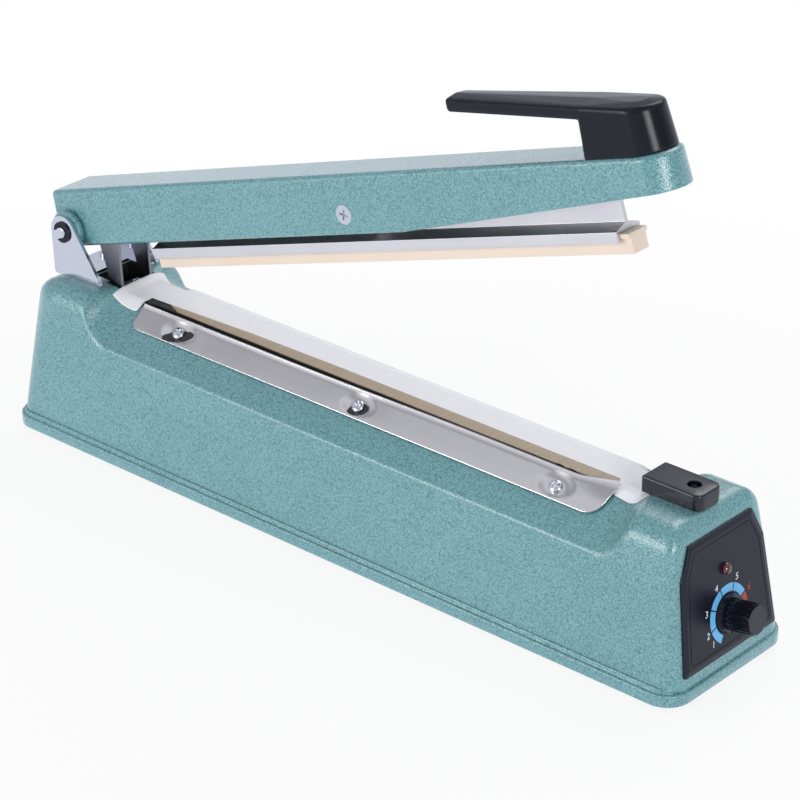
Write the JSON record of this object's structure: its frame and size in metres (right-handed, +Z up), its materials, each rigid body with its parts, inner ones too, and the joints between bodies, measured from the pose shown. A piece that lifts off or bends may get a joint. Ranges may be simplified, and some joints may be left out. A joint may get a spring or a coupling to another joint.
{
  "type": "hand press heat sealer",
  "caption": "Long table-top impulse heat sealer: painted cast base with a sealing bed, hinged press arm with a sprung return, rocking pressure bar, timer knob and lamp.",
  "frame": {"origin": "on the floor, below the middle of the bounding box", "axes": "+X along the base to the control panel, +Y across the base to the far side, +Z up; the arm hinges at the -X end"},
  "size_m": [0.4434, 0.09, 0.2659],
  "materials": {
    "teal_hammertone": "hammertone enamel",
    "chrome_plate": "polished",
    "stainless_plate": "polished sheet",
    "gunmetal_steel": "oiled",
    "black_gloss": "moulded gloss",
    "black_rubber": "matt",
    "bar_aluminium": "satin extrusion",
    "silicone": "matt",
    "white_cloth": "coated glass cloth",
    "tan_tape": "coated glass cloth tape",
    "lamp_red": "clear dome",
    "brass_terminal": "plain",
    "phenolic": "laminate",
    "board_green": "solder mask",
    "core_steel": "laminated",
    "coil_wrap": "taped winding",
    "button_red": "plain"
  },
  "bodies": {
    "base": {"base_housing": "teal_hammertone", "bottom_cover": "stainless_plate", "cover_screws": "chrome_plate", "rubber_feet": "black_rubber", "cord_gland": "black_gloss", "control_panel": "black_gloss", "indicator_lamp": "lamp_red", "timer_pot": "stainless_plate", "pot_nut": "chrome_plate", "timer_board": "board_green", "transformer_core": "core_steel", "transformer_coil": "coil_wrap", "transformer_screws": "chrome_plate", "microswitch": "black_gloss", "hinge_bracket": "chrome_plate", "bracket_screws": "chrome_plate", "hinge_pin": "chrome_plate", "pin_clips": "gunmetal_steel", "bed_strip": "phenolic", "heating_ribbon": "stainless_plate", "front_terminal": "brass_terminal", "rear_terminal": "brass_terminal", "terminal_screws": "chrome_plate", "bed_tape": "tan_tape", "cover_cloth": "white_cloth", "near_side_plate": "stainless_plate", "far_side_plate": "stainless_plate", "side_plate_screws": "chrome_plate", "terminal_cover": "black_gloss", "terminal_cover_screw": "chrome_plate", "spring_anchor": "stainless_plate", "return_spring": "stainless_plate"},
    "arm": {"press_arm": "teal_hammertone", "grip_handle": "black_gloss", "handle_screws": "chrome_plate", "switch_lever": "gunmetal_steel", "lever_cross_pin": "chrome_plate", "pivot_screw": "chrome_plate", "pivot_nut": "chrome_plate", "pivot_spacers": "stainless_plate"},
    "bar": {"pressure_bar": "bar_aluminium", "silicone_strip": "silicone"},
    "knob": {"timer_knob": "black_gloss", "timer_shaft": "stainless_plate"},
    "button": {"switch_button": "button_red"}
  },
  "joints": [
    {"name": "arm_hinge", "type": "hinge", "parent": "base", "child": "arm", "pos_m": [-0.20167, 0, 0.1084], "axis": [0, 1, 0], "range_deg": [0, 18], "stiffness_Nm_per_rad": 6, "springref_deg": -34.38, "deforming": ["return_spring"]},
    {"name": "bar_rock", "type": "hinge", "parent": "arm", "child": "bar", "pos_m": [-0.01358, 0, 0.17025], "axis": [0, 1, 0], "range_deg": [-0.3, 0.3]},
    {"name": "knob_turn", "type": "hinge", "parent": "base", "child": "knob", "pos_m": [0.20188, 0, 0.03354], "axis": [-0.9885, 0, -0.1513], "range_deg": [0, 270]},
    {"name": "button_press", "type": "slide", "parent": "base", "child": "button", "axis": [-1, 0, 0], "range_m": [0, 0.0012]}
  ],
  "couplings": [
    {"joint": "button_press", "follows": "arm_hinge", "m_per_rad": 0.0038159}
  ]
}
